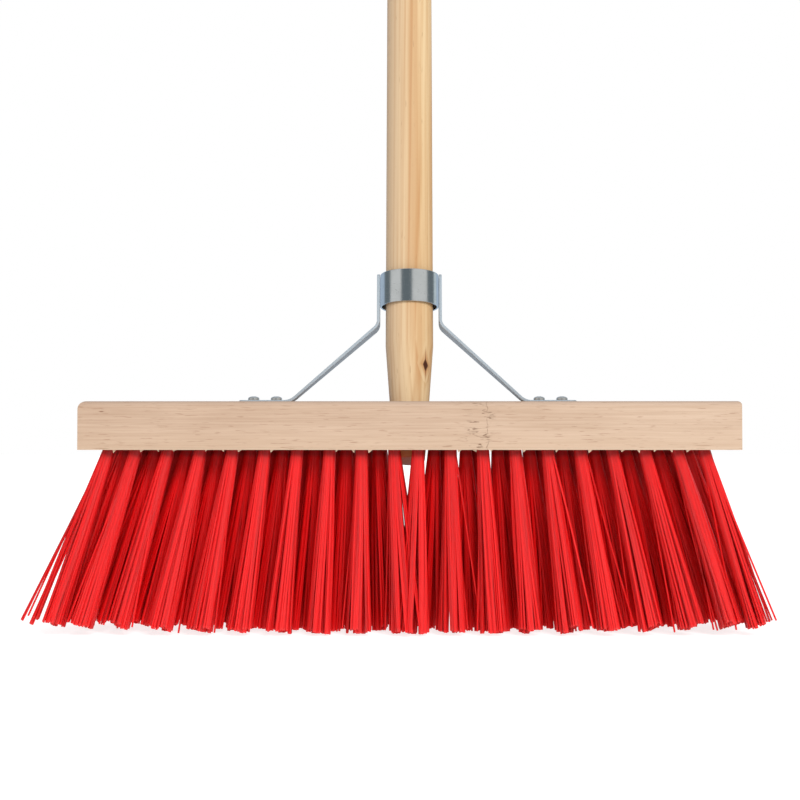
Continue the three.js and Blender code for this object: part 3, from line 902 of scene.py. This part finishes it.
def arm_mesh(side, drop, node):
    """One arm: a flat strip that leans with the collar at its top and lies flat at its foot."""
    corners = arm_corners(side, drop, node)
    points = arm_line(corners)
    distances = [0.0]
    for start, end in zip(points, points[1:]):
        distances.append(distances[-1] + (end - start).length)
    total = distances[-1]
    sections = []
    for index, (point, distance) in enumerate(zip(points, distances)):
        ahead = points[min(index + 1, len(points) - 1)] - points[max(index - 1, 0)]
        along = ahead.normalized()
        height = (point.z - corners[2].z) / (corners[1].z - corners[2].z)
        lean = COLLAR_LEAN * min(1, max(0, height))
        across = Vector((0, math.cos(lean), -math.sin(lean)))
        out = along.cross(across).normalized() * side
        across = (out.cross(along)).normalized() * side
        from_end = min(distance, total - distance)
        half_thickness = STRIP_THICKNESS / 2 - max(0, STRIP_EDGE_RADIUS / 2 - from_end)
        section = []
        for across_by, out_by in strip_section(strip_half_width(from_end), half_thickness):
            place = point + across * across_by + out * out_by
            if out_by >= ON_FACE * half_thickness:
                place -= out * weld_dent(place)
            section.append(place)
        sections.append(section)
    seats = [seat for seat in FOOT_SCREW_SEATS if seat.x * side > 0]
    drills = [moved(screw_hole(), Matrix.Translation(seat)) for seat in seats]
    mesh = worked(as_mesh(lofted(sections)), "BOOLEAN", gathered(drills), operation="DIFFERENCE")
    return smoothed(mesh, 40)


def weld_dent(place):
    """How deep the spot-weld marks press the strip's outer face at a point."""
    depth = 0.0
    for along in WELDS:
        offset = place - (COLLAR_CENTRE + COLLAR_AXIS * along)
        distance = math.hypot(offset.y, offset.z)
        depth += WELD_DEPTH * math.exp(-((distance / WELD_RADIUS) ** 4))
    return depth


# -------------------- screws


def cross_recess():
    """The tapered cross that the driver fits."""
    half, width = RECESS_LENGTH / 2, RECESS_WIDTH / 2
    corners = [(half, -width), (half, width), (width, width)]
    outline = []
    for _ in range(4):
        outline += corners
        corners = [(-up, across) for across, up in corners]

    def tapered(across, up, height):
        scale = RECESS_BOTTOM if height < HEAD_HEIGHT else RECESS_TOP
        return across * scale, up * scale, height

    return prism(outline, HEAD_HEIGHT - RECESS_DEPTH, HEAD_HEIGHT + GAP, tapered)


def screw_mesh():
    """A pan-head screw with its seat at z = 0 and its shank down."""
    profile = [(0, -SCREW_LENGTH), (SCREW_RADIUS, SCREW_POINT - SCREW_LENGTH), (SCREW_RADIUS, 0)]
    profile += [(HEAD_RADIUS - HEAD_EDGE, 0), (HEAD_RADIUS, HEAD_EDGE)]
    for turn in range(0, 90, 9):
        angle = math.radians(turn)
        crown = HEAD_RIM_HEIGHT + (HEAD_HEIGHT - HEAD_RIM_HEIGHT) * math.sin(angle)
        profile.append((HEAD_RADIUS * math.cos(angle), crown))
    profile.append((0, HEAD_HEIGHT))
    blank = as_mesh(turned(profile, HEAD_SIDES))
    return smoothed(worked(blank, "BOOLEAN", as_mesh(cross_recess()), operation="DIFFERENCE"), 35)


# -------------------- tufts

BRISTLE_LENGTH = UNDERSIDE
GOLDEN_ANGLE = math.pi * (3 - math.sqrt(5))
TIP_LIFT = 0.1 * MM
TIP_CHAMFER_LENGTH = 0.3 * MM
TIP_NARROWING = 0.72

# How a tuft opens: its tips' radius, how much wider each clump gets and how far its tips miss a plane
FRONT_TIP_RADIUS = 7.6 * MM
BACK_TIP_RADIUS = 12 * MM
TIP_RADIUS_SPREAD = 0.9 * MM
CLUMP_SPREAD = 1.5
CLUMP_JITTER = 0.9 * MM
CLUMP_LIFT = 1.5 * MM
STRAND_JITTER = 0.45 * MM
STRAND_LIFT = 0.45 * MM
STRAND_BOW = 0.4 * MM
FLARE_POWER = 1.03

# Packed, translucent strands share their light: how far a filament's shading leans out from its tuft,
# and the share of that which its flanks still get
SHARED_LIGHT = 0.85
SHARED_LIGHT_ASIDE = 0.7

# Strands that leave their bundle, and those at the left end with their reach past the bundle's axis
STRAYS = 2
STRAY_REACH = (3 * MM, 10 * MM)
END_STRAYS = (18 * MM, 17.2 * MM, 13 * MM, 12 * MM, 11.2 * MM)
END_STRAY_LENGTH = BRISTLE_LENGTH + 2.5 * MM

# Front tufts that differ, with their sideways lean and tip radius: the left end one, and the two beside
# the middle gap, which lean in over it. Those behind the gap lean in too.
UNUSUAL_FRONT_TUFTS = {
    1: (-2 * MM, 9 * MM),
    OUTER_PER_SIDE: (7.5 * MM, 12 * MM),
    OUTER_PER_SIDE + 1: (-3 * MM, 11.5 * MM),
}
BEHIND_GAP_LEAN = 8 * MM

TUFT_ROWS = (
    ("front", FRONT_ROW, OUTER_RED_PAINTED_SHEEN, FRONT_TIP_RADIUS),
    ("inner", INNER_ROWS, INNER_RED_PAINTED_SHADE, BACK_TIP_RADIUS),
    ("rear", REAR_ROW, OUTER_RED_PAINTED_SHEEN, BACK_TIP_RADIUS),
)


class Strand:
    """One filament: where it starts and ends across its tuft, and how it gets there."""

    def __init__(self, draw, across, up, clump):
        self.root = Vector((across, up))
        self.tip = Vector((draw.gauss(0, STRAND_JITTER), draw.gauss(0, STRAND_JITTER)))
        self.bow = draw.gauss(0, STRAND_BOW)
        self.length = BRISTLE_LENGTH - clump["lift"] - abs(draw.gauss(0, STRAND_LIFT))
        self.power = FLARE_POWER
        self.shade = draw.random()
        self.clump_shade = clump["shade"]


def sunflower(count, radius):
    """Evenly packed points in a disc."""
    points = []
    for index in range(count):
        distance = radius * math.sqrt((index + 0.5) / count)
        angle = index * GOLDEN_ANGLE
        points.append(Vector((distance * math.cos(angle), distance * math.sin(angle))))
    return points


def strands_of(draw, lean, tip_radius):
    """A tuft's filaments: clumps that part from each other, and a few strands that leave them."""
    turn = Matrix.Rotation(draw.uniform(0, 2 * math.pi), 2)
    clumps = []
    for centre in sunflower(CLUMPS, TUFT_RADIUS):
        aim = Vector((draw.gauss(0, CLUMP_JITTER), draw.gauss(0, CLUMP_JITTER)))
        aim += turn @ centre * tip_radius / TUFT_RADIUS
        lift = abs(draw.gauss(0, CLUMP_LIFT))
        clumps.append({"centre": turn @ centre, "aim": aim, "lift": lift, "shade": draw.random()})
    strands = []
    for across, up in sunflower(FILAMENTS, TUFT_RADIUS - FILAMENT_RADIUS / 2):
        root = Vector((across, up))
        clump = min(clumps, key=lambda item: (item["centre"] - root).length)
        strand = Strand(draw, across, up, clump)
        strand.tip += clump["aim"] + (root - clump["centre"]) * CLUMP_SPREAD
        strand.tip.x += lean
        strands.append(strand)
    for strand in draw.sample(strands, STRAYS):
        strand.tip.x += draw.choice((-1, 1)) * draw.uniform(*STRAY_REACH)
        strand.power = 1
    return strands


def part_end_strays(strands):
    """Sets a few of the left end tuft's strands apart, straight and far out."""
    from_middle = sorted(strands, key=lambda strand: (strand.root - Vector((-MM, MM))).length)
    for strand, reach in zip(from_middle, END_STRAYS):
        strand.tip.x = -reach
        strand.length = END_STRAY_LENGTH
        strand.bow = 0
        strand.power = 1


def strand_rings(strand, mouth, direction, across, up, shares, widths):
    """The filament's cross-sections from the bottom of its hole to its tip: their points and normals."""
    aside = strand.tip - strand.root
    offset = across * strand.tip.x + up * strand.tip.y
    reach = math.sqrt(strand.length ** 2 - aside.length_squared)
    reach = min(reach, (mouth.z + offset.z - TIP_LIFT) / -direction.z)
    outside = np.clip(shares, 0, 1)
    spread = outside ** strand.power
    swing = strand.bow * np.sin(math.pi * outside)
    from_axis = np.outer(strand.root.x + aside.x * spread + swing, across)
    from_axis += np.outer(strand.root.y + aside.y * spread + swing / 2, up)
    line = np.array(mouth)[None] + np.outer(shares * reach, direction) + from_axis
    heading = Vector(line[-1] - line[1]).normalized()
    first = (across - heading * heading.dot(across)).normalized()
    second = heading.cross(first)
    angles = np.arange(FILAMENT_SIDES) * 2 * math.pi / FILAMENT_SIDES
    circle = np.outer(np.cos(angles), first) + np.outer(np.sin(angles), second)
    outward = from_axis / np.maximum(TUFT_RADIUS, np.linalg.norm(from_axis, axis=1))[:, None]
    lean = SHARED_LIGHT * np.clip(SHARED_LIGHT_ASIDE + outward @ circle.T, 0, 1)[:, :, None]
    normals = circle[None] * (1 - lean) + outward[:, None] * lean
    return line[:, None] + circle[None] * (widths * FILAMENT_RADIUS)[:, None, None], normals


def tuft_mesh(hole, strands):
    """One tuft's filaments, coloured by each strand's shade, the place along it and its clump's shade.

    The sides get the shared normals, and the end caps keep those of their faces.
    """
    mouth, direction = hole
    across = (X_AXIS - direction * direction.x).normalized()
    up = direction.cross(across)
    shares = np.linspace(0, 1, FILAMENT_STEPS + 1)
    chamfer = TIP_CHAMFER_LENGTH / BRISTLE_LENGTH
    shares = np.concatenate(([-STUB / BRISTLE_LENGTH], shares[:-1], [1 - chamfer, 1]))
    widths = np.ones(len(shares))
    widths[-1] = TIP_NARROWING
    points, normals, faces, shades = [], [], [], []
    for strand in strands:
        start = len(points)
        rings, ring_normals = strand_rings(strand, mouth, direction, across, up, shares, widths)
        points.extend(rings.reshape(-1, 3).tolist())
        normals.append(ring_normals.reshape(-1, 3))
        for step in range(len(shares) - 1):
            low = start + step * FILAMENT_SIDES
            high = low + FILAMENT_SIDES
            for side in range(FILAMENT_SIDES):
                after = (side + 1) % FILAMENT_SIDES
                faces.append((low + side, low + after, high + after, high + side))
        faces.append(tuple(start + side for side in reversed(range(FILAMENT_SIDES))))
        last = len(points) - FILAMENT_SIDES
        faces.append(tuple(last + side for side in range(FILAMENT_SIDES)))
        for share in np.clip(shares, 0, 1):
            shades.extend([(strand.shade, share, strand.clump_shade, 1)] * FILAMENT_SIDES)

    mesh = bpy.data.meshes.new("tuft")
    mesh.from_pydata(points, [], faces)
    mesh.shade_smooth()
    mesh.set_sharp_from_angle(angle=math.radians(75))
    corner_points = np.empty(len(mesh.loops), np.int32)
    mesh.loops.foreach_get("vertex_index", corner_points)
    corner_normals = np.concatenate(normals)[corner_points]
    for face in mesh.polygons:
        if face.loop_total == FILAMENT_SIDES:
            corner_normals[face.loop_start:face.loop_start + FILAMENT_SIDES] = 0
    mesh.normals_split_custom_set(corner_normals.tolist())
    attribute = mesh.color_attributes.new("strand", "FLOAT_COLOR", "POINT")
    attribute.data.foreach_set("color", np.array(shades, np.float32).ravel())
    return mesh


def add_tufts():
    """One piece per tuft: four inner ones stand for one CAD node, and each other one for its own."""
    for row, holes, material, usual_radius in TUFT_ROWS:
        for number, hole in enumerate(holes, 1):
            draw = random.Random(f"{row} {number}")
            lean, tip_radius = 0, draw.gauss(usual_radius, TIP_RADIUS_SPREAD)
            if row == "front":
                lean, tip_radius = UNUSUAL_FRONT_TUFTS.get(number, (lean, tip_radius))
            elif abs(hole[0].x - FIELD_SHIFT) < tuft_offset(1):
                lean = math.copysign(BEHIND_GAP_LEAN, FIELD_SHIFT - hole[0].x)
            strands = strands_of(draw, lean, tip_radius)
            node = f"{row}_tuft_{number:02d}"
            if row == "inner":
                node = f"inner_tufts_{(number - 1) // TUFTS_PER_NODE + 1}"
            elif node == "front_tuft_01":
                part_end_strays(strands)
            name = f"{row}_bristles_{number:02d}"
            add_piece(name, tuft_mesh(hole, strands), material, "red_filament", node)


def anchors_mesh():
    """The small steel plates that pin every tuft at the bottom of its hole."""
    shapes = []
    size = Matrix.Diagonal((ANCHOR_LENGTH, ANCHOR_THICKNESS, ANCHOR_HEIGHT, 1))
    for mouth, direction in ALL_HOLES:
        shape = bmesh.new()
        bmesh.ops.create_cube(shape, size=1)
        middle = mouth - direction * (HOLE_DEPTH - ANCHOR_HEIGHT / 2)
        shapes.append(moved(shape, placing(middle, -direction) @ size))
    return gathered(shapes)


# -------------------- assembly


def add_broom():
    add_piece("wooden_block", block_mesh(), BEECH, "block_wood", "block")
    add_piece("wooden_pole", handle_mesh(), PINE, "handle_wood", "handle", matrix=HANDLE_PLACE)
    add_piece("stay_collar", collar_mesh(), ZINC, "zinc_steel", "collar", matrix=COLLAR_PLACE)
    for side, word, drop in ((-1, "left", LEFT_DROP), (1, "right", RIGHT_DROP)):
        node = f"stay_arm_{word}"
        arm = add_piece(f"steel_arm_{word}", arm_mesh(side, drop, node), ARM_ZINC, "zinc_steel", node)
        arm.visible_glossy = False
    screw = screw_mesh()
    for number, seat in enumerate(FOOT_SCREW_SEATS, 1):
        place = placing(seat, Z_AXIS) @ Matrix.Rotation(RECESS_TURN * number, 4, "Z")
        name, node = f"pan_screw_{number}", f"foot_screw_{number}"
        add_piece(name, screw, SCREW_STEEL, "screw_steel", node, matrix=place)
    place = COLLAR_SCREW_PLACE
    add_piece("pan_screw_5", screw, SCREW_STEEL, "screw_steel", "collar_screw", matrix=place)
    add_tufts()
    add_piece("tuft_anchors", anchors_mesh(), SCREW_STEEL, "screw_steel")


# -------------------- studio

# What polished surfaces see round the studio: azimuth from the front, to the right, and colour
LIGHT_PANEL = (0.68, 0.69, 0.675, 1)
BLUE_PANEL = (0.44, 0.55, 0.68, 1)
DARK_PANEL = (0.14, 0.17, 0.185, 1)
PALE_PANEL = (0.6, 0.69, 0.72, 1)
STUDIO_PANELS = [
    (-180, BLUE_PANEL), (-118, DARK_PANEL), (-83, LIGHT_PANEL), (-34, DARK_PANEL),
    (11, LIGHT_PANEL), (77, DARK_PANEL), (115, PALE_PANEL), (134, BLUE_PANEL),
]

# Half the width of the blend between two panels, in degrees, and the light from each end
PANEL_EDGE = 3
AMBIENT_LEFT = 0.32
AMBIENT_RIGHT = 0.54

# The lights' azimuth from the front, to the right, elevation, strength and width, with angles in degrees
SUNS = {"key": (21, 34, 2.3, 28), "front": (2, 4, 0.4, 40), "fill": (-65, 20, 0.5, 50)}
FLOOR_RADIUS = 30


def add_world():
    """White to the eye, soft and even as light, and panelled in reflections."""
    world = bpy.data.worlds.new("studio")
    bpy.context.scene.world = world
    shader = Shader(world)
    direction = shader.add("TexCoord").outputs["Generated"]
    parts = shader.axes(direction)
    azimuth = shader.math("ARCTAN2", parts["X"], shader.math("MULTIPLY", parts["Y"], -1))
    turn = shader.ranged(azimuth, -math.pi, math.pi)
    stops = []
    for index, (start, colour) in enumerate(STUDIO_PANELS):
        end = STUDIO_PANELS[index + 1][0] if index + 1 < len(STUDIO_PANELS) else 180
        stops += [((start + 180 + PANEL_EDGE) / 360, colour), ((end + 180 - PANEL_EDGE) / 360, colour)]
    panels = shader.ramp(turn, stops)
    rays = shader.add("LightPath").outputs
    ambient = shader.ranged(parts["X"], -1, 1, AMBIENT_LEFT, AMBIENT_RIGHT)
    seen = shader.mix(rays["Is Glossy Ray"], ambient, panels)
    seen = shader.mix(rays["Is Camera Ray"], seen, (1, 1, 1, 1))
    background = shader.add("Background", {"Color": seen, "Strength": 1.0})
    output = shader.add("OutputWorld")
    shader.links.new(background.outputs["Background"], output.inputs["Surface"])


def add_sun(name, azimuth, elevation, strength, width):
    """A soft white light from far off."""
    light = bpy.data.lights.new(name, "SUN")
    light.energy = strength
    light.angle = math.radians(width)
    lamp = bpy.data.objects.new(name, light)
    turn, rise = math.radians(azimuth), math.radians(elevation)
    source = Vector((math.sin(turn) * math.cos(rise), -math.cos(turn) * math.cos(rise), math.sin(rise)))
    lamp.rotation_euler = source.to_track_quat("Z", "Y").to_euler()
    lamp.visible_glossy = False
    link(lamp)


def add_floor():
    """A wide pale floor under the bristle tips."""
    disc = bmesh.new()
    bmesh.ops.create_circle(disc, cap_ends=True, segments=96, radius=FLOOR_RADIUS)
    floor = bpy.data.objects.new("floor", as_mesh(disc))
    floor.data.materials.append(pale_floor())
    link(floor)
    floor.visible_glossy = False


def add_studio():
    add_world()
    for name, settings in SUNS.items():
        add_sun(name, *settings)
    add_floor()
    bpy.context.scene.view_settings.view_transform = "Standard"


add_camera()
add_broom()
add_studio()
